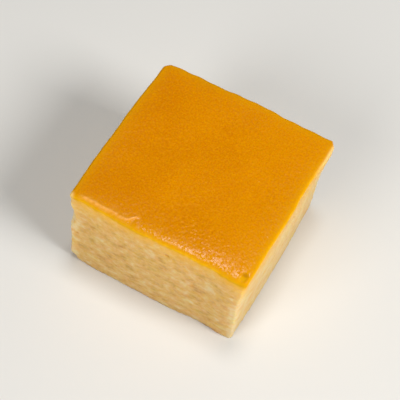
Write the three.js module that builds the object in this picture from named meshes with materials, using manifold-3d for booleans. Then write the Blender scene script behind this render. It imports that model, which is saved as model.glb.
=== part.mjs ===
// One hand-cut block of baked cheesecake, as a three.js group that holds one closed mesh.
// Millimetres, +Z up. The origin is the centre of the base, the longer side runs along X,
// and the front, the cut face that shows best, looks along -Y.
//
// The block is cut from a flat tray bake. Its baked skin closes the top and rolls down over
// the upper edges, most of all at the front. The four cut faces lean and bow as the knife
// left them, the back edge of the skin is torn into shallow scallops, and crumb has broken
// away at three corners and from the edge between the front and the left face.

import * as THREE from "three";
import { mergeVertices } from "three/addons/utils/BufferGeometryUtils.js";
import Module from "manifold-3d";

// Driving dimensions: the block between its corners, and how round the knife left its edges.
const width = 56.3;
const depth = 54.4;
const height = 37.4;
const edgeRadius = 0.8;

// The baked skin: how thick its rim is, and how far down the hollow under the rim reaches.
const skin = { thickness: 1, undercutReach: 4.5 };

// The top of the bake isn't quite level, and the crumb follows it down to some depth.
const top = { sag: 0.15, swell: 0.12, swellLength: 31, depth: 9 };

// The four cut faces. lean is how far the base stands out past the top, skew how far one end
// stands out past the other, belly how far the middle of the face stands out past its ends,
// bow the bulge at mid height, wave the unevenness of the cut and flare how far one end is
// pulled out, from and to a place along the face and a height. The skin's edge stands proud
// of the crumb and waves by scallop, passes to the crumb by fade, and leaves it undercut.
// The knife drags that edge of the top down by drag, which fades away over dragReach, each
// given at the two ends of the face. phase shifts the waves, so no two faces are alike.
const cutFaces = {
  front: {
    axis: "y", side: -1, lean: 0.15, skew: -1.3, belly: 0.9, bow: 0.3, wave: 0.12,
    flare: { out: 1, along: [15, 25], up: [-9, -8] },
    proud: -0.15, fade: 3, undercut: 0, scallop: 0.05,
    drag: [0.5, 1], dragReach: [0.8, 2.4], phase: 0.4,
  },
  right: {
    axis: "x", side: 1, lean: -0.6, skew: 0.3, belly: 0.55, bow: -0.15, wave: 0.12,
    flare: { out: 1.2, along: [8, 27], up: [16, 37] },
    proud: 0.05, fade: 0.8, undercut: 0, scallop: 0.05,
    drag: [0.25, 0.25], dragReach: [1.1, 1.1], phase: 2.1,
  },
  back: {
    axis: "y", side: 1, lean: -0.5, skew: 0.95, belly: 0.6, bow: 0.2, wave: 0.12,
    flare: { out: 0, along: [0, 1], up: [0, 1] },
    proud: 0.4, fade: 0.8, undercut: 0.1, scallop: 0.14,
    drag: [0.25, 0.25], dragReach: [1.1, 1.1], phase: 3.9,
  },
  left: {
    axis: "x", side: -1, lean: -0.2, skew: -1.2, belly: 0.35, bow: -0.3, wave: 0.1,
    flare: { out: 0, along: [0, 1], up: [0, 1] },
    proud: 0.3, fade: 0.8, undercut: 0.15, scallop: 0.04,
    drag: [0.25, 0.25], dragReach: [1.1, 1.1], phase: 5.3,
  },
};
const knifeWave = { along: 23, up: 29 }; // wave lengths of the uneven cut
const scallops = [
  { length: 6.3, share: 0.6, turn: 3 },
  { length: 10.7, share: 0.4, turn: 1 },
];
const stillCore = 0.6; // no point nearer the middle than this share of the way out is moved

// Where crumb has broken away. Each place is scooped out by a rough ball: from the corner of
// the block, its centre lies further out by these distances, or back in by a negative one.
const brokenPlaces = {
  frontLeftBase: { corner: [-1, -1, 0], out: [5, 5, 4], radius: 10 },
  frontLeftEdge: { corner: [-1, -1, 1], out: [9.45, 9.45, -11], radius: 14 },
  backLeftSkin: { corner: [-1, 1, 1], out: [5.8, 5.8, -2], radius: 10 },
  backRightSkin: { corner: [1, 1, 1], out: [3.6, 2.2, -1], radius: 3.8 },
};
const scoop = { roughness: 0.03, grain: 6.3, detail: 7 };

// How finely the surface is divided: rows across, rows up, and rows within a rounded edge.
const rows = { across: 30, up: 24, edge: 3 };

const belowBase = edgeRadius + 1; // the block is modelled this far down, then sliced flat
const half = new THREE.Vector3(width / 2, depth / 2, (height + belowBase) / 2);
const turn = 2 * Math.PI;
const { lerp, smoothstep } = THREE.MathUtils;

const wasm = await Module();
wasm.setup();

// A closed three.js geometry as a solid that can be cut.
function toSolid(geometry) {
  const bare = geometry.clone();
  bare.deleteAttribute("normal");
  bare.deleteAttribute("uv");
  const merged = mergeVertices(bare, 1e-4);
  return new wasm.Manifold(
    new wasm.Mesh({
      numProp: 3,
      vertProperties: merged.getAttribute("position").array,
      triVerts: new Uint32Array(merged.index.array),
    }),
  );
}

// A solid back as a three.js geometry.
function toGeometry(solid) {
  const mesh = solid.getMesh();
  const geometry = new THREE.BufferGeometry();
  geometry.setAttribute("position", new THREE.BufferAttribute(mesh.vertProperties, 3));
  geometry.setIndex(new THREE.BufferAttribute(mesh.triVerts, 1));
  geometry.computeVertexNormals();
  return geometry;
}

// Moves every point of a geometry by a function that changes it in place.
function reshape(geometry, change) {
  const place = geometry.getAttribute("position");
  const point = new THREE.Vector3();
  for (let i = 0; i < place.count; i++) {
    point.fromBufferAttribute(place, i);
    change(point);
    place.setXYZ(i, point.x, point.y, point.z);
  }
  return geometry;
}

// Grid rows crowd into the rounded edges and lie evenly between them.
function crowd(value, halfSize, count) {
  const fromMiddle = (Math.abs(value) / halfSize) * (count / 2);
  const innerRows = count / 2 - rows.edge;
  const flat = halfSize - edgeRadius;
  const past = Math.max(0, fromMiddle - innerRows) / rows.edge;
  const place = (flat * Math.min(fromMiddle, innerRows)) / innerRows + edgeRadius * past;
  return Math.sign(value) * place;
}

// A box point drawn in onto the rounded edges.
function roundOff(point) {
  const core = half.clone().subScalar(edgeRadius);
  const inner = point.clone().clamp(core.clone().negate(), core);
  const out = point.clone().sub(inner);
  point.copy(inner.addScaledVector(out.normalize(), edgeRadius));
}

// How far a cut face stands out at a place along it and at a height above the base.
function knifeOffset(face, along, halfSpan, z) {
  const up = z / height;
  const fromMiddle = along / halfSpan;
  const ripple =
    Math.sin((turn * along) / knifeWave.along + face.phase) *
    Math.cos((turn * z) / knifeWave.up + 2 * face.phase);
  return (
    face.lean * (1 - up) +
    0.5 * face.skew * fromMiddle +
    face.belly * (1 - fromMiddle * fromMiddle) +
    face.bow * 4 * up * (1 - up) +
    face.wave * ripple +
    face.flare.out * smoothstep(along, ...face.flare.along) * smoothstep(z, ...face.flare.up)
  );
}

// The skin's rim stands proud in uneven scallops, and the crumb hollows a little under it.
function rimOffset(face, along, z) {
  const down = height - z;
  let uneven = 0;
  for (const wave of scallops) {
    uneven += wave.share * Math.sin((turn * along) / wave.length + wave.turn * face.phase);
  }
  const rimEnd = skin.thickness + face.fade;
  const belowRim = smoothstep(down, skin.thickness, rimEnd);
  const hollow = belowRim * (1 - smoothstep(down, rimEnd, skin.undercutReach));
  return (1 - belowRim) * (face.proud + face.scallop * uneven) - face.undercut * hollow;
}

// Pushes the points of each cut face out or in. The top and the base follow near the face.
function cutByHand(point) {
  const from = point.clone();
  for (const face of Object.values(cutFaces)) {
    const across = face.axis === "x" ? "y" : "x";
    const reach = (face.side * from[face.axis]) / half[face.axis];
    const follow = smoothstep(reach, stillCore, 1 - edgeRadius / half[face.axis]);
    const offset =
      knifeOffset(face, from[across], half[across], from.z) +
      rimOffset(face, from[across], from.z);
    point[face.axis] += face.side * follow * offset;
  }
}

// Drags the edges of the top down and lets its middle sag and swell.
function settleTop(point) {
  const follow = smoothstep(point.z, height - top.depth, height - edgeRadius);
  let down = 0;
  for (const face of Object.values(cutFaces)) {
    const across = face.axis === "x" ? "y" : "x";
    const toEdge = Math.max(0, half[face.axis] - face.side * point[face.axis]);
    const share = 0.5 + (0.5 * point[across]) / half[across];
    down += lerp(...face.drag, share) * Math.exp(-toEdge / lerp(...face.dragReach, share));
  }
  const x = point.x / half.x;
  const y = point.y / half.y;
  down += top.sag * (1 - x * x) * (1 - y * y);
  down -=
    top.swell *
    Math.sin((turn * point.x) / top.swellLength + 1) *
    Math.cos((turn * point.y) / top.swellLength);
  point.z -= follow * down;
}

// The whole block before anything is cut from it. It reaches below the base.
function blockGeometry() {
  const size = half.clone().multiplyScalar(2);
  const box = new THREE.BoxGeometry(size.x, size.y, size.z, rows.across, rows.across, rows.up);
  return reshape(box, (point) => {
    point.x = crowd(point.x, half.x, rows.across);
    point.y = crowd(point.y, half.y, rows.across);
    point.z = crowd(point.z, half.z, rows.up);
    roundOff(point);
    point.z += height - half.z;
    cutByHand(point);
    settleTop(point);
  });
}

// The rough ball that scoops the loose crumb from a corner or an edge.
function ballGeometry({ corner, out, radius }) {
  const middle = new THREE.Vector3(
    corner[0] * (width / 2 + out[0]),
    corner[1] * (depth / 2 + out[1]),
    corner[2] ? height + out[2] : -out[2],
  );
  const ball = new THREE.IcosahedronGeometry(radius, scoop.detail);
  return reshape(ball, (point) => {
    const wave = (turn / scoop.grain) * point.x;
    const crossWave = (turn / scoop.grain) * (point.z - point.y);
    point.multiplyScalar(1 + scoop.roughness * Math.sin(wave) * Math.cos(crossWave));
    point.add(middle);
  });
}

// The slab under the block that slices its base flat.
function boardGeometry() {
  const board = new THREE.BoxGeometry(2 * width, 2 * depth, 2 * belowBase);
  return board.translate(0, 0, -belowBase);
}

function cheesecake() {
  let solid = toSolid(blockGeometry()).subtract(toSolid(boardGeometry()));
  for (const place of Object.values(brokenPlaces)) {
    solid = solid.subtract(toSolid(ballGeometry(place)));
  }
  const geometry = toGeometry(solid);
  geometry.computeBoundingBox();
  const middle = geometry.boundingBox.getCenter(new THREE.Vector3());
  geometry.translate(-middle.x, -middle.y, 0);
  const material = new THREE.MeshStandardMaterial({
    name: "baked crumb",
    color: 0xe6bf78,
    roughness: 0.75,
    metalness: 0,
  });
  const mesh = new THREE.Mesh(geometry, material);
  mesh.name = "cheesecake";
  return mesh;
}

const part = new THREE.Group();
part.add(cheesecake());

export default part;
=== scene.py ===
import math

import bpy
import numpy as np
from mathutils import Matrix, Vector, noise


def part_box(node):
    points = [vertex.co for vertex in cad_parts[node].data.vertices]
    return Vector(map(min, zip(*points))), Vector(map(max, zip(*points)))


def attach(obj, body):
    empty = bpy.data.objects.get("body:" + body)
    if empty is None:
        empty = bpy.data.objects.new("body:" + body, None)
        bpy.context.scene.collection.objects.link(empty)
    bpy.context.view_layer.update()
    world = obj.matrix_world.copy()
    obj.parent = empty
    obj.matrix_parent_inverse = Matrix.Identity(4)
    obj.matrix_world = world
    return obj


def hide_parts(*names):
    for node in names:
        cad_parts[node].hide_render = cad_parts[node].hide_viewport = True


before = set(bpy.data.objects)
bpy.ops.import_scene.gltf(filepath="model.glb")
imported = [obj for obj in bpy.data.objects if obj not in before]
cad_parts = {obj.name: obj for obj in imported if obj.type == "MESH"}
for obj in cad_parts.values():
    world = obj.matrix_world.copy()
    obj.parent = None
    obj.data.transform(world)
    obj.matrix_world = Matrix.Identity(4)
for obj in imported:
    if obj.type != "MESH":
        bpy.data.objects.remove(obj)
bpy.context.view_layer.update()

# One hand-cut block of baked cheesecake: pale crumb under an oven-browned skin.
# Shapes are worked out in millimetres and turned to metres when a mesh is made.

metresPerMm = 0.001
cadLow, cadHigh = (np.array(corner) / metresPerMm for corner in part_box("cheesecake"))
boxSize = cadHigh - cadLow
print("frame loaded, block of", np.round(boxSize, 1), "mm")


# the block as cut

block = {
    "cornerShare": (0.9591, 0.9531, 0.9984),  # its corners stand in from the box, as the faces bulge
    "edgeRadius": 0.8,
    "stillCore": 0.6,  # nothing nearer the middle than this share of the way out is moved
}
skinRim = {
    "thickness": 1,
    "undercutReach": 4.5,
    "seam": 0.7,  # how deep under the top skin and crumb meet inside
    "depth": 1.15,  # how far down its colour reaches, uneven by layers of a grain and a height
    "ragged": ((4, 0.4), (1.2, 0.6)),
    # where it has run down further: a corner, and a little along the front
    "runs": ({"at": (27.5, -27.2), "reach": (5, 0.9), "depth": 1.6},
             {"at": (-14, -27.6), "reach": (13, 2), "depth": 0.25}),
}
topFace = {"sag": 0.15, "swell": 0.12, "swellLength": 31, "depth": 9}
# each cut face leans, skews, bulges and waves, and one end of it may flare out: the right face
# only high up, the front one at every height, as its flare starts below the base. The skin
# stands proud of its crumb, and the knife drags its top edge down, unlike at its two ends
noFlare = {"out": 0, "along": (0, 1), "up": (0, 1)}
cutFaces = {
    "front": {"axis": 1, "side": -1, "lean": 0.15, "skew": -1.3, "belly": 0.9, "bow": 0.3,
              "wave": 0.12, "flare": {"out": 1, "along": (15, 25), "up": (-9, -8)},
              "proud": -0.15, "fade": 3, "undercut": 0, "scallop": 0.05,
              "drag": (0.5, 1), "dragReach": (0.8, 2.4), "phase": 0.4},
    "right": {"axis": 0, "side": 1, "lean": -0.6, "skew": 0.3, "belly": 0.55, "bow": -0.15,
              "wave": 0.12, "flare": {"out": 1.2, "along": (8, 27), "up": (16, 37)},
              "proud": 0.05, "fade": 0.8, "undercut": 0, "scallop": 0.05,
              "drag": (0.25, 0.25), "dragReach": (1.1, 1.1), "phase": 2.1},
    "back": {"axis": 1, "side": 1, "lean": -0.5, "skew": 0.95, "belly": 0.6, "bow": 0.2,
             "wave": 0.12, "flare": noFlare,
             "proud": 0.4, "fade": 0.8, "undercut": 0.1, "scallop": 0.14,
             "drag": (0.25, 0.25), "dragReach": (1.1, 1.1), "phase": 3.9},
    "left": {"axis": 0, "side": -1, "lean": -0.2, "skew": -1.2, "belly": 0.35, "bow": -0.3,
             "wave": 0.1, "flare": noFlare,
             "proud": 0.3, "fade": 0.8, "undercut": 0.15, "scallop": 0.04,
             "drag": (0.25, 0.25), "dragReach": (1.1, 1.1), "phase": 5.3},
}
knifeWave = {"along": 23, "up": 29}
scallops = [{"length": 6.3, "share": 0.6, "turn": 3}, {"length": 10.7, "share": 0.4, "turn": 1}]
# crumb broken away by balls whose middles lie this far out from a corner of the block; each
# ball is uneven by a share of its radius
brokenGrain = {"size": (1.7, 1.7, 1.2), "share": 0.02}
brokenPlaces = {
    "frontLeftBase": {"corner": (-1, -1, 0), "out": (5, 5, 4), "radius": 10,
                      "inward": (1, 1, 1)},
    "frontLeftEdge": {"corner": (-1, -1, 1), "out": (9.45, 9.45, -11), "radius": 14,
                      "inward": (1, 1, 0)},
    "backLeftSkin": {"corner": (-1, 1, 1), "out": (5.8, 5.8, -2), "radius": 10,
                     "inward": (1, -1, -1)},
    "backRightSkin": {"corner": (1, 1, 1), "out": (3.6, 2.2, -1), "radius": 3.8,
                      "inward": (-1, -1, -1)},
}

width, depth, height = boxSize * block["cornerShare"]
halfPlan = np.array([width / 2, depth / 2])


def smoothStep(value, low, high):
    share = np.clip((value - low) / (high - low), 0, 1)
    return share * share * (3 - 2 * share)


def wavyNoise(points, size):
    # Perlin noise with a grain of size mm along x, y and z, one value a point; points that are
    # moved by a fixed step give another pattern
    scaled = points / np.array(size)
    return np.array([noise.noise(place) for place in scaled])


def crowdedRow(halfSize, count, edgeRows):
    # places from -halfSize to halfSize, evenly spaced but closer in the rounded edges
    flat = halfSize - block["edgeRadius"]
    inner = np.linspace(-flat, flat, count - 2 * edgeRows + 1)
    edge = np.linspace(flat, halfSize, edgeRows + 1)[1:]
    return np.concatenate([-edge[::-1], inner, edge])


def outlineRing(count, edgeRows):
    # the outline of the block in plan, counterclockwise from the front left corner
    xs = crowdedRow(halfPlan[0], count, edgeRows)
    ys = crowdedRow(halfPlan[1], count, edgeRows)
    ones = np.ones(count)
    x = np.concatenate([xs[:-1], ones * halfPlan[0], xs[:0:-1], -ones * halfPlan[0]])
    y = np.concatenate([-ones * halfPlan[1], ys[:-1], ones * halfPlan[1], ys[:0:-1]])
    outline = np.stack([x, y], axis=1)
    core = np.clip(outline, block["edgeRadius"] - halfPlan, halfPlan - block["edgeRadius"])
    out = outline - core
    return core, out / np.linalg.norm(out, axis=1, keepdims=True)


def sidePoints(core, out, down, inset=0):
    # points of the side at a depth below the top, round the top edge where it is shallow
    radius = block["edgeRadius"]
    rise = np.clip(radius - down, 0, radius) / radius
    reach = radius * np.sqrt(1 - rise ** 2) - inset
    plan = core + out * np.reshape(reach, (-1, 1))
    return np.column_stack([plan, np.broadcast_to(height - down, len(plan))])


def topPoints(count, edgeRows):
    # a grid over the top that rolls halfway down the rounded edges
    radius = block["edgeRadius"]
    xs = crowdedRow(halfPlan[0], count, edgeRows)
    ys = crowdedRow(halfPlan[1], count, edgeRows)
    x, y = np.meshgrid(xs, ys)
    flat = np.column_stack([x.ravel(), y.ravel(), np.full(x.size, height)])
    coreSize = np.array([halfPlan[0] - radius, halfPlan[1] - radius, height - radius])
    core = np.clip(flat, -coreSize, coreSize)
    out = flat - core
    out /= np.linalg.norm(out, axis=1, keepdims=True)
    return core + out * radius, out


def knifeOffset(face, along, halfSpan, z):
    up = z / height
    fromMiddle = along / halfSpan
    ripple = np.sin(math.tau * along / knifeWave["along"] + face["phase"])
    ripple = ripple * np.cos(math.tau * z / knifeWave["up"] + 2 * face["phase"])
    offset = face["lean"] * (1 - up) + 0.5 * face["skew"] * fromMiddle
    offset = offset + face["belly"] * (1 - fromMiddle ** 2) + face["bow"] * 4 * up * (1 - up)
    flare = face["flare"]
    pulled = smoothStep(along, *flare["along"]) * smoothStep(z, *flare["up"])
    return offset + face["wave"] * ripple + flare["out"] * pulled


def rimOffset(face, along, z):
    down = height - z
    uneven = sum(
        wave["share"] * np.sin(math.tau * along / wave["length"] + wave["turn"] * face["phase"])
        for wave in scallops
    )
    rimEnd = skinRim["thickness"] + face["fade"]
    belowRim = smoothStep(down, skinRim["thickness"], rimEnd)
    hollow = belowRim * (1 - smoothStep(down, rimEnd, skinRim["undercutReach"]))
    rim = (1 - belowRim) * (face["proud"] + face["scallop"] * uneven)
    return rim - face["undercut"] * hollow


def cutByHand(points):
    # the four faces pushed in and out, as far as the still core of the block
    moved = points.copy()
    for face in cutFaces.values():
        axis = face["axis"]
        along = points[:, 1 - axis]
        reach = face["side"] * points[:, axis] / halfPlan[axis]
        follow = smoothStep(reach, block["stillCore"], 1 - block["edgeRadius"] / halfPlan[axis])
        offset = knifeOffset(face, along, halfPlan[1 - axis], points[:, 2])
        offset = offset + rimOffset(face, along, points[:, 2])
        moved[:, axis] += face["side"] * follow * offset
    return moved


def settleTop(points):
    # the edges of the top are dragged down, and its middle sags and swells
    share = smoothStep(points[:, 2], height - topFace["depth"], height - block["edgeRadius"])
    down = np.zeros(len(points))
    for face in cutFaces.values():
        axis = face["axis"]
        along = points[:, 1 - axis]
        edge = halfPlan[axis] + knifeOffset(face, along, halfPlan[1 - axis], height)
        toEdge = np.maximum(edge - face["side"] * points[:, axis], 0)
        alongShare = 0.5 + 0.5 * along / halfPlan[1 - axis]
        drag = face["drag"][0] + alongShare * np.ptp(face["drag"])
        reach = face["dragReach"][0] + alongShare * np.ptp(face["dragReach"])
        down += drag * np.exp(-toEdge / reach)
    x, y = (points[:, :2] / halfPlan).T
    down += topFace["sag"] * (1 - x ** 2) * (1 - y ** 2)
    swell = np.sin(math.tau * points[:, 0] / topFace["swellLength"] + 1)
    swell = swell * np.cos(math.tau * points[:, 1] / topFace["swellLength"])
    points = points.copy()
    points[:, 2] -= share * (down - topFace["swell"] * swell)
    return points


def breakAway(points):
    # points inside a ball slide inward onto it
    points = points.copy()
    for broken in brokenPlaces.values():
        sign = np.array(broken["corner"], float)
        out = np.array(broken["out"], float)
        middle = np.append(sign[:2] * (halfPlan + out[:2]), height + out[2] if sign[2] else -out[2])
        inward = broken["inward"] / np.linalg.norm(broken["inward"])
        fromMiddle = points - middle
        uneven = brokenGrain["share"] * wavyNoise(points, brokenGrain["size"])
        ballRadius = broken["radius"] * (1 + uneven)
        inside = (fromMiddle ** 2).sum(axis=1) < ballRadius ** 2
        along = fromMiddle[inside] @ inward
        short = (fromMiddle[inside] ** 2).sum(axis=1) - ballRadius[inside] ** 2
        slide = -along + np.sqrt(along ** 2 - short)
        points[inside] += slide[:, None] * inward
    return points


def shapeOfBlock(points):
    return breakAway(settleTop(cutByHand(points)))


def measureShape():
    # the lowest and highest corners of the smooth shape, which stands on its base; these
    # points are dense enough to be sure of its bulges
    cells, edgeRows, rowCount = 120, 4, 60
    core, out = outlineRing(cells, edgeRows)
    rows = [sidePoints(core, out, down)
            for down in np.linspace(block["edgeRadius"] / 2, height, rowCount)]
    rows.append(topPoints(cells // 2, edgeRows)[0])
    shaped = shapeOfBlock(np.concatenate(rows))
    low = shaped.min(axis=0)
    return np.append(low[:2], 0), shaped.max(axis=0)


shapeLow, shapeHigh = measureShape()
print("shape measures", np.round(shapeHigh - shapeLow, 2), "mm before it is fitted")


def toFrame(points):
    share = (points - shapeLow) / (shapeHigh - shapeLow)
    return (cadLow + share * boxSize) * metresPerMm


# meshes

def loftFaces(rings):
    # quads between rings of vertex numbers that follow one another downward, facing out
    upper, lower = rings[:-1], rings[1:]
    corners = [lower, np.roll(lower, -1, axis=1), np.roll(upper, -1, axis=1), upper]
    return np.stack(corners, axis=-1).reshape(-1, 4).tolist()


def gridRing(grid):
    # the border of a square grid of vertex numbers, in the order of outlineRing
    return np.concatenate([grid[0, :-1], grid[:-1, -1], grid[-1, :0:-1], grid[:0:-1, 0]])


def gridFaces(grid, up):
    quads = np.stack([grid[:-1, :-1], grid[:-1, 1:], grid[1:, 1:], grid[1:, :-1]], axis=-1)
    quads = quads.reshape(-1, 4)
    return (quads if up else quads[:, ::-1]).tolist()


def coarseCap(ring, first, z, inset, step, up):
    # closes a fine ring with a coarse grid: one coarse edge for each step of fine ones
    cells = len(ring) // 4 // step
    xs = np.linspace(inset - halfPlan[0], halfPlan[0] - inset, cells + 1)
    ys = np.linspace(inset - halfPlan[1], halfPlan[1] - inset, cells + 1)
    x, y = np.meshgrid(xs, ys)
    points = np.column_stack([x.ravel(), y.ravel(), np.full(x.size, z)])
    grid = first + np.arange(x.size).reshape(x.shape)
    faces = gridFaces(grid, up)
    border = gridRing(grid)
    for number in range(len(border)):
        fine = [int(ring[(number * step + k) % len(ring)]) for k in range(step + 1)]
        fan = fine + [int(border[(number + 1) % len(border)]), int(border[number])]
        faces.append(fan if up else fan[::-1])
    return points, faces


def makePiece(name, points, faces, material, attributes):
    mesh = bpy.data.meshes.new(name)
    mesh.from_pydata(toFrame(points).tolist(), [], faces)
    mesh.polygons.foreach_set("use_smooth", [True] * len(mesh.polygons))
    for label, values in attributes.items():
        layer = mesh.attributes.new(label, "FLOAT", "POINT")
        layer.data.foreach_set("value", np.asarray(values, np.float32))
    mesh.materials.append(material)
    mesh.validate()
    piece = bpy.data.objects.new(name, mesh)
    bpy.context.scene.collection.objects.link(piece)
    return piece


# materials

def linear(hexColour):
    channels = [int(hexColour[k:k + 2], 16) / 255 for k in (1, 3, 5)]
    return [c / 12.92 if c <= 0.04045 else ((c + 0.055) / 1.055) ** 2.4 for c in channels] + [1]


def newMaterial(name):
    material = bpy.data.materials.new(name)
    material.use_nodes = True
    material.node_tree.nodes.clear()
    return material, material.node_tree


def addNode(tree, kind, settings=None, inputs=None, output=0):
    # adds a node, sets its properties, and links or sets each input; returns one output
    node = tree.nodes.new(kind)
    for key, value in (settings or {}).items():
        setattr(node, key, value)
    for key, value in (inputs or {}).items():
        if isinstance(key, int):
            socket = node.inputs[key]
        else:
            socket = next(s for s in node.inputs if s.name == key and s.enabled)
        if isinstance(value, bpy.types.NodeSocket):
            tree.links.new(value, socket)
        else:
            socket.default_value = value
    if isinstance(output, int):
        usable = [s for s in node.outputs if s.enabled]
        return usable[output] if usable else None
    return node.outputs[output]


# baked cheesecake crumb, cut with a knife: matt and creamy, mottled where it tore, with painted
# light on flakes that stand up and painted shade in the pits, and yellow where the skin soaks into
# it
crumbLook = {
    "tan": "#D29C44",
    "cream": "#F0BD63",
    "pale": "#F4D594",
    "yolk": "#FFBB34",
    "yolkShare": 0.7,
    "yolkReachMm": 3.2,
    "contrast": 1.7,  # of its mottling
    "cleanSofter": 0.6,  # how much of that is lost where it was cut cleanly
    "cleanYolkier": 0.4,  # how much slower the yolk yellow fades out there
    "paintedShadeLevels": (0.985, 0.77),  # painted shade: its brightness below the skin and at the base
    "paintedEdgeBrighter": 0.1,  # how much brighter its upright edges are painted, as painted light
    "richness": (0.9, 1.06),
    "hue": (0.493, 0.507),
    "mottleMm": (4, 1.3),  # how large its two layers of mottling are
    "fineShare": 0.4,  # how much of it is the finer layer
    "level": 1.25,  # the mottling lies level, longer than it is high by this
    "paleFrom": (0.5, 0.82),  # how pale the mottling has to be to turn from cream to pale
    "tanFrom": (0.56, 0.1),  # and how dark to turn to tan
    "raggedYolkMm": 4,  # how uneven the line is where the yolk yellow fades out
    "grainMm": 0.5,  # coarser than the real pores of about 0.2 mm, which would not show
    "grainDepthMm": 0.15,
    "roughness": 0.8,
    "ior": 1.42,
    "specular": 0.3,
    "sheen": 0.15,
    "subsurface": 0.3,
    "subsurfaceMm": 1.5,
}


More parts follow.
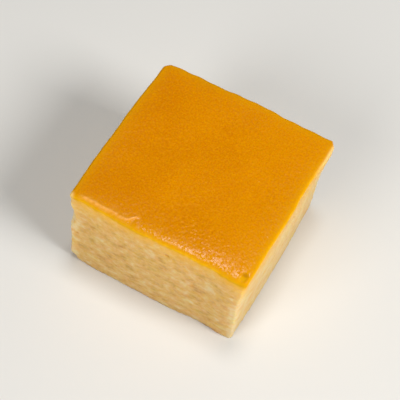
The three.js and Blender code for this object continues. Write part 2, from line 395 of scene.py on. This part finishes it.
def makeCrumbMaterial():
    look = crumbLook
    material, tree = newMaterial("bakedCheesecakeCrumb")
    place = addNode(tree, "ShaderNodeTexCoord", output="Object")
    settled = addNode(tree, "ShaderNodeMapping", inputs={
        "Vector": place, "Scale": (1, 1, look["level"])})
    broad, fine = (1 / (size * metresPerMm) for size in look["mottleMm"])
    mottle = addNode(tree, "ShaderNodeTexNoise", inputs={
        "Vector": settled, "Scale": broad, "Detail": 1})
    fleck = addNode(tree, "ShaderNodeTexNoise", inputs={
        "Vector": settled, "Scale": fine, "Detail": 3, "Roughness": 0.6})
    grain = addNode(tree, "ShaderNodeTexNoise", inputs={
        "Vector": place, "Scale": 1 / (look["grainMm"] * metresPerMm), "Detail": 2})
    pale = addNode(tree, "ShaderNodeAttribute", {"attribute_name": "paintedPaleness"}, output="Fac")
    layers = addNode(tree, "ShaderNodeMix", {"data_type": "FLOAT"}, {
        "Factor": look["fineShare"], "A": mottle, "B": fleck})
    clean = addNode(tree, "ShaderNodeAttribute", {"attribute_name": "clean"}, output="Fac")
    contrast = addNode(tree, "ShaderNodeMath", {"operation": "MULTIPLY_ADD"}, {
        0: clean, 1: -look["cleanSofter"] * look["contrast"], 2: look["contrast"]})
    uneven = addNode(tree, "ShaderNodeMath", {"operation": "SUBTRACT"}, {0: layers, 1: 0.5})
    strong = addNode(tree, "ShaderNodeMath", {"operation": "MULTIPLY_ADD"}, {
        0: uneven, 1: contrast, 2: 0.5})
    # the mottling, lifted or lowered by painted light and shade
    mottleAndPaintedLight = addNode(tree, "ShaderNodeMath", {"operation": "ADD"}, {0: pale, 1: strong})
    paleStart, paleEnd = look["paleFrom"]
    tanStart, tanEnd = look["tanFrom"]
    isPale = addNode(tree, "ShaderNodeMapRange", {"interpolation_type": "SMOOTHSTEP"}, {
        "Value": mottleAndPaintedLight, "From Min": paleStart, "From Max": paleEnd})
    isTan = addNode(tree, "ShaderNodeMapRange", {"interpolation_type": "SMOOTHSTEP"}, {
        "Value": mottleAndPaintedLight, "From Min": tanStart, "From Max": tanEnd})
    upper = addNode(tree, "ShaderNodeMix", {"data_type": "RGBA"}, {
        "Factor": isPale, "A": linear(look["cream"]), "B": linear(look["pale"])})
    base = addNode(tree, "ShaderNodeMix", {"data_type": "RGBA"}, {
        "Factor": isTan, "A": upper, "B": linear(look["tan"])})
    # painted shade: darker towards the base
    below = addNode(tree, "ShaderNodeAttribute", {"attribute_name": "belowRim"}, output="Fac")
    paintedPaler, paintedDarker = look["paintedShadeLevels"]
    paintedShade = addNode(tree, "ShaderNodeMapRange", inputs={
        "Value": below, "From Min": 0.0, "From Max": float(height),
        "To Min": paintedPaler, "To Max": paintedDarker})
    # painted light along the upright edges
    paintedEdgeLight = addNode(tree, "ShaderNodeAttribute", {"attribute_name": "paintedEdgeLight"}, output="Fac")
    paintedEdgeLift = addNode(tree, "ShaderNodeMath", {"operation": "MULTIPLY_ADD"}, {
        0: paintedEdgeLight, 1: look["paintedEdgeBrighter"], 2: 1})
    paintedLightAndShade = addNode(tree, "ShaderNodeMath", {"operation": "MULTIPLY"}, {0: paintedShade, 1: paintedEdgeLift})
    # and is yellower here and creamier or pinker there
    tint = addNode(tree, "ShaderNodeSeparateColor", inputs={
        "Color": fleck.node.outputs["Color"]}, output="Green")
    pinkness = addNode(tree, "ShaderNodeSeparateColor", inputs={
        "Color": mottle.node.outputs["Color"]}, output="Blue")
    richness = addNode(tree, "ShaderNodeMapRange", inputs={
        "Value": tint, "From Min": 0.3, "From Max": 0.7,
        "To Min": look["richness"][0], "To Max": look["richness"][1]})
    hue = addNode(tree, "ShaderNodeMapRange", inputs={
        "Value": pinkness, "From Min": 0.3, "From Max": 0.7,
        "To Min": look["hue"][0], "To Max": look["hue"][1]})
    baked = addNode(tree, "ShaderNodeHueSaturation", inputs={
        "Color": base, "Hue": hue, "Saturation": richness, "Value": paintedLightAndShade})
    # the yolk yellow fades out below the skin, unevenly
    ragged = addNode(tree, "ShaderNodeMath", {"operation": "MULTIPLY_ADD"}, {
        0: layers, 1: look["raggedYolkMm"], 2: -0.5 * look["raggedYolkMm"]})
    shifted = addNode(tree, "ShaderNodeMath", {"operation": "ADD"}, {0: below, 1: ragged})
    fading = addNode(tree, "ShaderNodeMath", {"operation": "MULTIPLY_ADD"}, {
        0: clean, 1: look["cleanYolkier"] / look["yolkReachMm"], 2: -1 / look["yolkReachMm"]})
    faded = addNode(tree, "ShaderNodeMath", {"operation": "MULTIPLY"}, {0: shifted, 1: fading})
    soaked = addNode(tree, "ShaderNodeMath", {"operation": "EXPONENT"}, {0: faded})
    yolk = addNode(tree, "ShaderNodeMath", {"operation": "MULTIPLY", "use_clamp": True}, {
        0: soaked, 1: look["yolkShare"]})
    colour = addNode(tree, "ShaderNodeMix", {"data_type": "RGBA"}, {
        "Factor": yolk, "A": baked, "B": linear(look["yolk"])})
    bump = addNode(tree, "ShaderNodeBump", inputs={
        "Strength": 0.8, "Distance": look["grainDepthMm"] * metresPerMm, "Height": grain})
    shader = addNode(tree, "ShaderNodeBsdfPrincipled", inputs={
        "Base Color": colour, "Roughness": look["roughness"], "IOR": look["ior"],
        "Specular IOR Level": look["specular"], "Sheen Weight": look["sheen"],
        "Sheen Roughness": 0.5, "Subsurface Weight": look["subsurface"],
        "Subsurface Radius": (1.0, 0.6, 0.25),
        "Subsurface Scale": look["subsurfaceMm"] * metresPerMm, "Normal": bump})
    addNode(tree, "ShaderNodeOutputMaterial", inputs={"Surface": shader})
    return material


# oven-browned skin, baked smooth: a satin amber film with a fine orange-peel dimple, lighter
# where it thins out to its cut edges
skinLook = {
    "amber": "#DA8B00",
    "dark": "#C97700",
    "edge": "#DE9E07",
    "cutEdge": "#EBAC10",
    "underSkin": "#FFC24E",
    # painted highlight along the torn ridge
    "torn": "#ECA64C",
    "notch": "#DA9C08",
    # painted shade under the back lip of the notch
    "lipShade": "#B07200",
    "bare": "#F0CB80",
    "edgeReachMm": 1.5,
    "cutFrom": (-0.95, -0.7),  # where the cut edge starts, as belowRim counts
    "lowFrom": (-0.65, -0.1),  # and where it turns paler
    "speckle": 2.4,  # contrast of the fine browner specks
    "peelMm": 0.55,  # size of the specks and dimples, coarser than the real 0.3 mm or so
    "peelDepthMm": 0.05,
    "roughness": 0.26,
    "ior": 1.45,
    "specular": (0, 0.36),  # where the film is thin and where it is thick
    "filmMm": 0.75,  # size of its thin and thick patches
    "filmFrom": (0.38, 0.6),
    "dullInside": 0.35,  # how much of its gloss is left away from the edges
    "dullReachMm": (2, 12),
    "dryEdgeMm": (0.2, 1.25),  # no film lies on the cut edge, up to here
    "subsurface": 0.12,
    "subsurfaceMm": 0.8,
}


def makeSkinMaterial():
    look = skinLook
    material, tree = newMaterial("ovenBrownedSkin")
    place = addNode(tree, "ShaderNodeTexCoord", output="Object")
    speckle = addNode(tree, "ShaderNodeTexNoise", inputs={
        "Vector": place, "Scale": 1 / (look["peelMm"] * metresPerMm), "Detail": 2})
    # clouds of browning, with painted shade darker towards the left
    brownedAndShaded = addNode(tree, "ShaderNodeAttribute", {"attribute_name": "brownedAndShaded"}, output="Fac")
    speckled = addNode(tree, "ShaderNodeMath", {"operation": "MULTIPLY_ADD"}, {
        0: speckle, 1: look["speckle"], 2: brownedAndShaded})
    isDark = addNode(tree, "ShaderNodeMath", {"operation": "SUBTRACT", "use_clamp": True}, {
        0: speckled, 1: 0.5 * look["speckle"]})
    film = addNode(tree, "ShaderNodeMix", {"data_type": "RGBA"}, {
        "Factor": isDark, "A": linear(look["amber"]), "B": linear(look["dark"])})
    toEdge = addNode(tree, "ShaderNodeAttribute", {"attribute_name": "toEdge"}, output="Fac")
    fadeIn = addNode(tree, "ShaderNodeMath", {"operation": "MULTIPLY"}, {
        0: toEdge, 1: -1 / look["edgeReachMm"]})
    isThin = addNode(tree, "ShaderNodeMath", {"operation": "EXPONENT"}, {0: fadeIn})
    thinned = addNode(tree, "ShaderNodeMix", {"data_type": "RGBA"}, {
        "Factor": isThin, "A": film, "B": linear(look["edge"])})
    below = addNode(tree, "ShaderNodeAttribute", {"attribute_name": "belowRim"}, output="Fac")
    isCut = addNode(tree, "ShaderNodeMapRange", {"interpolation_type": "SMOOTHSTEP"}, {
        "Value": below, "From Min": look["cutFrom"][0], "From Max": look["cutFrom"][1]})
    isLow = addNode(tree, "ShaderNodeMapRange", inputs={
        "Value": below, "From Min": look["lowFrom"][0], "From Max": look["lowFrom"][1]})
    cutEdge = addNode(tree, "ShaderNodeMix", {"data_type": "RGBA"}, {
        "Factor": isLow, "A": linear(look["cutEdge"]), "B": linear(look["underSkin"])})
    cut = addNode(tree, "ShaderNodeMix", {"data_type": "RGBA"}, {
        "Factor": isCut, "A": thinned, "B": cutEdge})
    # painted highlight along the torn ridge
    torn = addNode(tree, "ShaderNodeAttribute", {"attribute_name": "torn"}, output="Fac")
    ridgeHighlighted = addNode(tree, "ShaderNodeMix", {"data_type": "RGBA"}, {
        "Factor": torn, "A": cut, "B": linear(look["torn"])})
    notch = addNode(tree, "ShaderNodeAttribute", {"attribute_name": "notch"}, output="Fac")
    notched = addNode(tree, "ShaderNodeMix", {"data_type": "RGBA"}, {
        "Factor": notch, "A": ridgeHighlighted, "B": linear(look["notch"])})
    # painted shade under the back lip of the notch
    lipShade = addNode(tree, "ShaderNodeAttribute", {"attribute_name": "lipShade"}, output="Fac")
    lipShaded = addNode(tree, "ShaderNodeMix", {"data_type": "RGBA"}, {
        "Factor": lipShade, "A": notched, "B": linear(look["lipShade"])})
    bare = addNode(tree, "ShaderNodeAttribute", {"attribute_name": "bare"}, output="Fac")
    colour = addNode(tree, "ShaderNodeMix", {"data_type": "RGBA"}, {
        "Factor": bare, "A": lipShaded, "B": linear(look["bare"])})
    bump = addNode(tree, "ShaderNodeBump", inputs={
        "Strength": 0.6, "Distance": look["peelDepthMm"] * metresPerMm, "Height": speckle})
    # its gloss comes and goes in patches, fades inward, and is gone on the cut edge and in the notch
    patches = addNode(tree, "ShaderNodeTexNoise", inputs={
        "Vector": place, "Scale": 1 / (look["filmMm"] * metresPerMm), "Detail": 1})
    thinFilm, thickFilm = look["specular"]
    gloss = addNode(tree, "ShaderNodeMapRange", {"interpolation_type": "SMOOTHSTEP"}, {
        "Value": patches, "From Min": look["filmFrom"][0], "From Max": look["filmFrom"][1],
        "To Min": thinFilm, "To Max": thickFilm})
    dullStart, dullEnd = look["dullReachMm"]
    nearEdge = addNode(tree, "ShaderNodeMapRange", {"interpolation_type": "SMOOTHSTEP"}, {
        "Value": toEdge, "From Min": dullStart, "From Max": dullEnd,
        "To Min": 1, "To Max": look["dullInside"]})
    dryStart, dryEnd = look["dryEdgeMm"]
    onEdge = addNode(tree, "ShaderNodeMapRange", {"interpolation_type": "SMOOTHSTEP"}, {
        "Value": toEdge, "From Min": dryStart, "From Max": dryEnd, "To Min": 1, "To Max": 0})
    noFilm = addNode(tree, "ShaderNodeMath", {"operation": "MAXIMUM"}, {0: onEdge, 1: notch})
    onFilm = addNode(tree, "ShaderNodeMath", {"operation": "SUBTRACT"}, {0: nearEdge, 1: noFilm})
    filmGloss = addNode(tree, "ShaderNodeMath", {"operation": "MULTIPLY", "use_clamp": True}, {
        0: gloss, 1: onFilm})
    shader = addNode(tree, "ShaderNodeBsdfPrincipled", inputs={
        "Base Color": colour, "Roughness": look["roughness"], "IOR": look["ior"],
        "Specular IOR Level": filmGloss, "Subsurface Weight": look["subsurface"],
        "Subsurface Radius": (1.0, 0.45, 0.1),
        "Subsurface Scale": look["subsurfaceMm"] * metresPerMm, "Normal": bump})
    addNode(tree, "ShaderNodeOutputMaterial", inputs={"Surface": shader})
    return material


# the baked skin

def rimDepth(plan):
    # how far down the skin reaches at a place on the outline, uneven along the cut
    level = np.column_stack([plan, np.zeros(len(plan))])
    down = np.full(len(plan), skinRim["depth"])
    for number, (grain, high) in enumerate(skinRim["ragged"]):
        down += high * wavyNoise(level + 50 * number, (grain, grain, grain))
    for run in skinRim["runs"]:
        apart = (plan - run["at"]) / run["reach"]
        down += run["depth"] * np.exp(-(apart ** 2).sum(axis=1))
    return down


skinPiece = {
    "cells": 280,
    "edgeRows": 6,
    "rimRows": 6,
    "underside": ((0.03, 0.12), (-0.1, 0.6)),  # how far past the rim and how far in, mm
    "capInset": 1.6,
    "capStep": 5,
    "peel": ((0.95, 0.025), (0.5, 0.02)),  # layers of dimples: grain and height, mm
    # behind the front edge it puckers, so its dimples are deeper there
    "pucker": {"at": (8, -20), "reach": (11, 4), "more": 2.2},
    # painted shade darker towards the left, and browner in soft clouds of a grain and a strength
    "browningAndShade": {"middle": 0.45, "leftPaintedMore": 0.22, "clouds": ((13, 0.25), (5, 0.125))},
}
# what the oven and the knife left on it, by place on the top: a torn ridge that lies along the
# front edge and hooks inward, with a painted highlight along it, a notch near the front right
# corner, with painted shade under its back lip, skin rubbed bare at the front left corner and
# along the back of the right edge, and four specks
skinMarks = {
    # hookRun is how far before and past its end it hooks, and step how much lower the front is
    "ridge": {"from": (-24.8, -25.8), "to": (-8.7, -25.5), "fade": 1, "hook": 2.1,
              "hookRun": (-2.5, 0.5), "height": 0.2, "width": 0.5, "step": 0.1},
    # flecks of painted highlight along the ridge: grain, share of it, unevenness, and reach in its
    # widths
    "torn": {"grain": 0.9, "share": 0.75, "uneven": 0.9, "widths": 1.1},
    "notch": {"at": (26.1, -25.3), "radius": (1, 1.6), "depth": 0.3, "lipShade": 1},
    "bare": {"corner": {"at": (-28.15, -27.2), "radius": (1.3, 1.3)},
             "backRight": {"at": (28.6, 23), "radius": (1.1, 8)}},
    "specks": {"at": ((-20.6, -4.6), (-5.4, 8.9), (15.7, 4.4), (5.9, -13.8)), "radius": 0.3,
               "height": 0.06},
}


def besideRidge(x, y):
    # how much of the ridge there is at x, and how many of its widths y lies behind it
    ridge = skinMarks["ridge"]
    (startX, startY), (endX, endY) = ridge["from"], ridge["to"]
    line = startY + (endY - startY) * (x - startX) / (endX - startX)
    hookStart, hookEnd = ridge["hookRun"]
    line = line + ridge["hook"] * smoothStep(x, endX + hookStart, endX + hookEnd)
    fade = ridge["fade"]
    started = smoothStep(x, startX - fade, startX + fade)
    ended = smoothStep(x, endX - fade / 2, endX + fade)
    return started * (1 - ended), (y - line) / ridge["width"]


def ridgeHeight(x, y):
    ridge = skinMarks["ridge"]
    present, across = besideRidge(x, y)
    crest = ridge["height"] * np.exp(-across ** 2)
    return present * (crest - ridge["step"] * smoothStep(-across, 0, 2))


def ridgeHighlightShare(points):
    # where the ridge carries a painted highlight, in flecks
    torn = skinMarks["torn"]
    present, across = besideRidge(points[:, 0], points[:, 1])
    flecks = torn["share"] + torn["uneven"] * wavyNoise(points + 40, (torn["grain"],) * 3)
    return np.clip(present * flecks * np.exp(-(across / torn["widths"]) ** 2), 0, 1)


def notchShare(x, y):
    notch = skinMarks["notch"]
    across = (x - notch["at"][0]) / notch["radius"][0]
    along = (y - notch["at"][1]) / notch["radius"][1]
    return np.exp(-(across ** 2 + along ** 2) ** 2)


def lipShadeShare(x, y):
    # painted shade under the back lip of the notch
    notch = skinMarks["notch"]
    return notchShare(x, y) * smoothStep(y - notch["at"][1], 0, notch["lipShade"])


def bareShare(plan):
    share = np.zeros(len(plan))
    for bare in skinMarks["bare"].values():
        apart = (plan - bare["at"]) / bare["radius"]
        share += np.exp(-(apart ** 2).sum(axis=1) ** 2)
    return share


def brownedAndShadedShare(points):
    browningAndShade = skinPiece["browningAndShade"]
    # painted shade: darker towards the left
    share = browningAndShade["middle"] - browningAndShade["leftPaintedMore"] * points[:, 0] / halfPlan[0]
    for number, (grain, strength) in enumerate(browningAndShade["clouds"]):
        share += strength * wavyNoise(points + 7 * number, (grain, grain, grain))
    return share


def skinHeight(points):
    # how far the skin stands up or in, along its own surface, at each point
    x, y = points[:, 0], points[:, 1]
    rise = ridgeHeight(x, y) - skinMarks["notch"]["depth"] * notchShare(x, y)
    specks = skinMarks["specks"]
    for atX, atY in specks["at"]:
        apart = ((x - atX) ** 2 + (y - atY) ** 2) / specks["radius"] ** 2
        rise += specks["height"] * np.exp(-apart)
    pucker = skinPiece["pucker"]
    apart = (points[:, :2] - pucker["at"]) / pucker["reach"]
    puckered = 1 + pucker["more"] * np.exp(-(apart ** 2).sum(axis=1))
    for grain, high in skinPiece["peel"]:
        rise += high * puckered * wavyNoise(points, (grain, grain, grain))
    return rise


def makeSkin(material):
    count = skinPiece["cells"]
    top, topOut = topPoints(count, skinPiece["edgeRows"])
    grid = np.arange(len(top)).reshape(count + 1, count + 1)
    border = gridRing(grid)
    core, out = outlineRing(count, skinPiece["edgeRows"])
    rim = rimDepth(core + out * block["edgeRadius"])
    start = height - top[border, 2]
    shares = np.linspace(0, 1, skinPiece["rimRows"] + 1)[1:]
    rows = [(start + (rim - start) * share, 0) for share in shares]
    rows += [(rim + past, inset) for past, inset in skinPiece["underside"]]
    rings = [sidePoints(core, out, down, inset) for down, inset in rows]
    numbers = len(top) + np.arange(len(rings) * len(core)).reshape(len(rings), -1)
    first = len(top) + numbers.size
    cap, capFaces = coarseCap(numbers[-1], first, height - skinRim["seam"],
                              skinPiece["capInset"], skinPiece["capStep"], False)
    faces = gridFaces(grid, True) + loftFaces(np.vstack([border, numbers])) + capFaces

    points = np.concatenate([top, *rings, cap])
    flatOut = np.column_stack([out, np.zeros(len(out))])
    outs = np.concatenate([topOut, np.tile(flatOut, (len(rings), 1)), np.zeros((len(cap), 3))])
    # from -1 on the flat top to 0 at the lower end of the rim
    below = np.concatenate([(height - top[:, 2]) / rimDepth(top[:, :2]),
                            *(down / rim for down, inset in rows), np.ones(len(cap))])
    below = np.minimum(below, 1) - 1
    toEdge = np.maximum(0, (halfPlan - np.abs(points[:, :2])).min(axis=1))
    shaped = shapeOfBlock(points) + outs * skinHeight(points)[:, None]
    return makePiece("bakedSkin", shaped, faces, material, {
        "belowRim": below, "toEdge": toEdge, "brownedAndShaded": brownedAndShadedShare(points),
        "torn": ridgeHighlightShare(points),
        "notch": notchShare(points[:, 0], points[:, 1]),
        "lipShade": lipShadeShare(points[:, 0], points[:, 1]), "bare": bareShare(points[:, :2])})


# the crumb

crumbPiece = {
    "cells": 190,
    "edgeRows": 5,
    "rows": 118,
    "shoulder": ((-0.35, 0.9), (-0.2, 0.2)),  # how far past the rim and how far in, mm
    "baseInset": 0.25,
    "capInset": 2.2,
    "capStep": 5,
    # layers of the torn crumb: its grain along, across and up, and its height, mm
    "grain": (((9, 9, 9), 0.12), ((2.8, 2.8, 2.2), 0.1), ((1.2, 1.2, 1), 0.07),
              ((0.6, 0.6, 0.5), 0.05)),
    "calmRim": 0.8,  # none of that at the rim, and all of it this far below
    # painted light on raised flakes and painted shade in pits, by this share of their height
    "raisedPaintedPaler": 0.3,
    "raggedBase": {"reach": 1.6, "grain": 1.5, "depth": 0.25},
    # its upright edges crumble into chips and are painted paler there, as painted light
    "crumblyEdge": {"reach": 2.2, "grain": 1.3, "depth": 0.35, "paintedPaler": 0.15, "paintedEdgeLightReach": 3.2,
                    "leftPaintedMore": 0.4},
    # the right face is cut more cleanly, and is painted paler from so far down, as painted light
    "cleanCut": {"edge": (2, 0.5), "below": (3.5, 10), "paintedPaler": 0.15},
}
# scattered ovals pressed in or standing out: half their length and height, and how deep, mm
crumbMarks = {
    "pits": {"seed": 7, "count": 60,
             "length": (0.3, 0.8), "high": (0.3, 0.6), "out": (-0.12, -0.05)},
    "flakes": {"seed": 8, "count": 260,
               "length": (0.5, 1), "high": (0.35, 0.7), "out": (0.04, 0.11)},
    "holes": {"seed": 9, "count": 8,
              "length": (0.35, 0.5), "high": (0.3, 0.45), "out": (-0.6, -0.4)},
}
marksClear = {"base": 1, "top": 3}  # how far they keep from the base and the top
# the ones that show most on the front, by their place across it and up it, mm
frontMarks = (
    {"at": (3.3, 32), "length": 0.6, "high": 0.45, "out": -0.9},
    {"at": (-14.7, 15.5), "length": 1.7, "high": 0.4, "out": 0.2},
    {"at": (-10.4, 16.9), "length": 1.4, "high": 0.35, "out": 0.18},
    {"at": (-5.4, 11.2), "length": 1.6, "high": 0.35, "out": 0.16},
    {"at": (0.7, 2.8), "length": 1.5, "high": 0.4, "out": 0.18},
    {"at": (-14.2, 9.1), "length": 1.5, "high": 0.5, "out": -0.35},
    {"at": (-5.2, 7.5), "length": 1.4, "high": 0.5, "out": -0.35},
    {"at": (20.8, 6.6), "length": 1.8, "high": 0.5, "out": -0.3},
)


def drawMarks(outlineLength):
    marks = [{**mark, "at": (mark["at"][0] + halfPlan[0], mark["at"][1])} for mark in frontMarks]
    up = (marksClear["base"], height - marksClear["top"])
    for kind in crumbMarks.values():
        draw = np.random.RandomState(kind["seed"])
        for _ in range(kind["count"]):
            at = (draw.uniform(0, outlineLength), draw.uniform(*up))
            marks.append({"at": at, **{key: draw.uniform(*kind[key])
                                       for key in ("length", "high", "out")}})
    return marks


def toUprightEdge(points):
    return np.linalg.norm(halfPlan - np.abs(points[:, :2]), axis=1)


def crumbRelief(points, run):
    # how far the torn surface stands out at each point of the side; run goes round the outline
    relief = np.zeros(len(points))
    for grain, high in crumbPiece["grain"]:
        relief += high * wavyNoise(points, grain)
    z = points[:, 2]
    outlineLength = 2 * (width + depth)
    for mark in drawMarks(outlineLength):
        near = np.abs(z - mark["at"][1]) < 2 * mark["high"]
        along = (run[near] - mark["at"][0] + outlineLength / 2) % outlineLength - outlineLength / 2
        apart = (along / mark["length"]) ** 2 + ((z[near] - mark["at"][1]) / mark["high"]) ** 2
        relief[near] += mark["out"] * np.exp(-apart ** 1.5)
    base = crumbPiece["raggedBase"]
    nearBase = 1 - smoothStep(z, 0, base["reach"])
    torn = wavyNoise(points + 30, (base["grain"],) * 3)
    relief += base["depth"] * nearBase * (torn - 0.5)
    edge = crumbPiece["crumblyEdge"]
    nearEdge = 1 - smoothStep(toUprightEdge(points), 0, edge["reach"])
    chipped = np.maximum(0, wavyNoise(points + 60, (edge["grain"],) * 3))
    return relief - edge["depth"] * nearEdge * chipped


def paintedEdgeLightShare(points):
    # painted light, highest along the four upright edges, and more so on the left
    edge = crumbPiece["crumblyEdge"]
    leftPaintedMore = 1 - edge["leftPaintedMore"] * points[:, 0] / halfPlan[0]
    return leftPaintedMore * np.exp(-(toUprightEdge(points) / edge["paintedEdgeLightReach"]) ** 2)


def cleanShare(points):
    # 1 on the cleanly cut right face and 0 on the others
    start, end = crumbPiece["cleanCut"]["edge"]
    return smoothStep(points[:, 0], halfPlan[0] - start, halfPlan[0] - end)


def paintedPaleness(points, relief):
    # painted light and shade: raised flakes paler, pits darker, upright edges and the clean face
    # paler
    clean = crumbPiece["cleanCut"]
    deep = smoothStep(height - points[:, 2], *clean["below"])
    paintedEdgeLight = crumbPiece["crumblyEdge"]["paintedPaler"] * paintedEdgeLightShare(points)
    raised = crumbPiece["raisedPaintedPaler"] * relief
    return raised + paintedEdgeLight + clean["paintedPaler"] * cleanShare(points) * deep


def makeCrumb(material):
    core, out = outlineRing(crumbPiece["cells"], crumbPiece["edgeRows"])
    outline = core + out * block["edgeRadius"]
    rim = rimDepth(outline)
    rows = [(rim + past, inset) for past, inset in crumbPiece["shoulder"]]
    lowest = height - crumbPiece["baseInset"]
    for share in np.linspace(0, 1, crumbPiece["rows"] + 1):
        rows.append((rim + (lowest - rim) * share, 0))
    rows.append((np.full(len(core), height), crumbPiece["baseInset"]))
    rings = [sidePoints(core, out, down, inset) for down, inset in rows]
    numbers = np.arange(len(rings) * len(core)).reshape(len(rings), -1)
    inset, step = crumbPiece["capInset"], crumbPiece["capStep"]
    top, topFaces = coarseCap(numbers[0], numbers.size, height - skinRim["seam"], inset, step, True)
    base, baseFaces = coarseCap(numbers[-1], numbers.size + len(top), 0, inset, step, False)
    faces = loftFaces(numbers) + topFaces + baseFaces

    side = np.concatenate(rings)
    lengths = np.linalg.norm(np.roll(outline, -1, axis=0) - outline, axis=1)
    run = np.tile(np.concatenate([[0], np.cumsum(lengths)[:-1]]), len(rings))
    belowRim = np.concatenate([down - rim for down, inset in rows])
    relief = crumbRelief(side, run) * smoothStep(belowRim, 0, crumbPiece["calmRim"])
    flatOut = np.tile(np.column_stack([out, np.zeros(len(out))]), (len(rings), 1))
    shaped = shapeOfBlock(np.concatenate([side, top, base]))
    shaped[:len(side)] += flatOut * relief[:, None]
    below = np.concatenate([np.maximum(belowRim, 0), np.zeros(len(top)),
                            np.full(len(base), height)])
    capZeros = np.zeros(len(top) + len(base))
    return makePiece("crumb", shaped, faces, material, {
        "belowRim": below, "paintedPaleness": np.append(paintedPaleness(side, relief), capZeros),
        "paintedEdgeLight": np.append(paintedEdgeLightShare(side), capZeros),
        "clean": np.append(cleanShare(side), capZeros)})


crumb = makeCrumb(makeCrumbMaterial())
bakedSkin = makeSkin(makeSkinMaterial())
for piece, slotName in ((crumb, "crumb"), (bakedSkin, "baked_skin")):
    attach(piece, "root")
    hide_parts("cheesecake")
    print(piece.name, len(piece.data.vertices), "points", len(piece.data.polygons), "faces")


# floor, light and camera

studio = {"floorRadius": 3, "floor": "#DDDBD6", "world": "#F4F1EA", "worldStrength": 0.06}
blockMiddle = Vector((cadLow + cadHigh) / 2 * metresPerMm)


def makeFloor():
    # painted board, matt and pale, so it throws soft even light back at the crumb
    material, tree = newMaterial("paintedStudioFloor")
    shader = addNode(tree, "ShaderNodeBsdfPrincipled", inputs={
        "Base Color": linear(studio["floor"]), "Roughness": 0.8})
    addNode(tree, "ShaderNodeOutputMaterial", inputs={"Surface": shader})
    mesh = bpy.data.meshes.new("floor")
    ring = [(studio["floorRadius"] * math.cos(a), studio["floorRadius"] * math.sin(a), 0)
            for a in np.linspace(0, math.tau, 96, endpoint=False)]
    mesh.from_pydata(ring, [], [list(range(len(ring)))])
    mesh.materials.append(material)
    floor = bpy.data.objects.new("floor", mesh)
    bpy.context.scene.collection.objects.link(floor)


def around(azimuth, elevation, distance):
    # a place round the block; azimuth 0 is in front of it and 90 on its right
    a, e = math.radians(azimuth), math.radians(elevation)
    back = Vector((math.sin(a) * math.cos(e), -math.cos(a) * math.cos(e), math.sin(e)))
    return blockMiddle + back * distance


lights = {
    "keyPanel": {"azimuth": 85, "elevation": 43, "distance": 0.9, "size": 0.4, "watts": 6.5},
    "overheadPanel": {"azimuth": 200, "elevation": 83, "distance": 0.9, "size": 0.2, "watts": 2.3},
    "fillPanel": {"azimuth": -15, "elevation": 35, "distance": 1.1, "size": 0.6, "watts": 5.55},
}


def makeLights():
    for name, setting in lights.items():
        data = bpy.data.lights.new(name, "AREA")
        data.shape = "DISK"
        data.size = setting["size"]
        data.energy = setting["watts"]
        lamp = bpy.data.objects.new(name, data)
        lamp.location = around(setting["azimuth"], setting["elevation"], setting["distance"])
        lamp.rotation_euler = (blockMiddle - lamp.location).to_track_quat("-Z", "Y").to_euler()
        bpy.context.scene.collection.objects.link(lamp)
    world = bpy.data.worlds.new("studioAir")
    world.use_nodes = True
    backdrop = world.node_tree.nodes["Background"]
    backdrop.inputs["Color"].default_value = linear(studio["world"])
    backdrop.inputs["Strength"].default_value = studio["worldStrength"]
    bpy.context.scene.world = world


# the camera looks down on the top, the front and a little of the right face
view = {"azimuth": 20.46, "elevation": 60.02, "distance": 0.3963, "roll": 9.28, "lens": 118}


def makeCamera():
    data = bpy.data.cameras.new("camera")
    data.lens = view["lens"]
    data.sensor_width = 36
    data.clip_start = 0.01
    data.clip_end = 20
    camera = bpy.data.objects.new("camera", data)
    place = around(view["azimuth"], view["elevation"], view["distance"])
    aim = (blockMiddle - place).to_track_quat("-Z", "Y").to_matrix().to_4x4()
    turned = Matrix.Rotation(math.radians(view["roll"]), 4, "Z")
    camera.matrix_world = Matrix.Translation(place) @ aim @ turned
    bpy.context.scene.collection.objects.link(camera)
    bpy.context.scene.camera = camera


makeFloor()
makeLights()
makeCamera()
bpy.context.scene.view_settings.view_transform = "Standard"
print("floor, lights and camera placed")
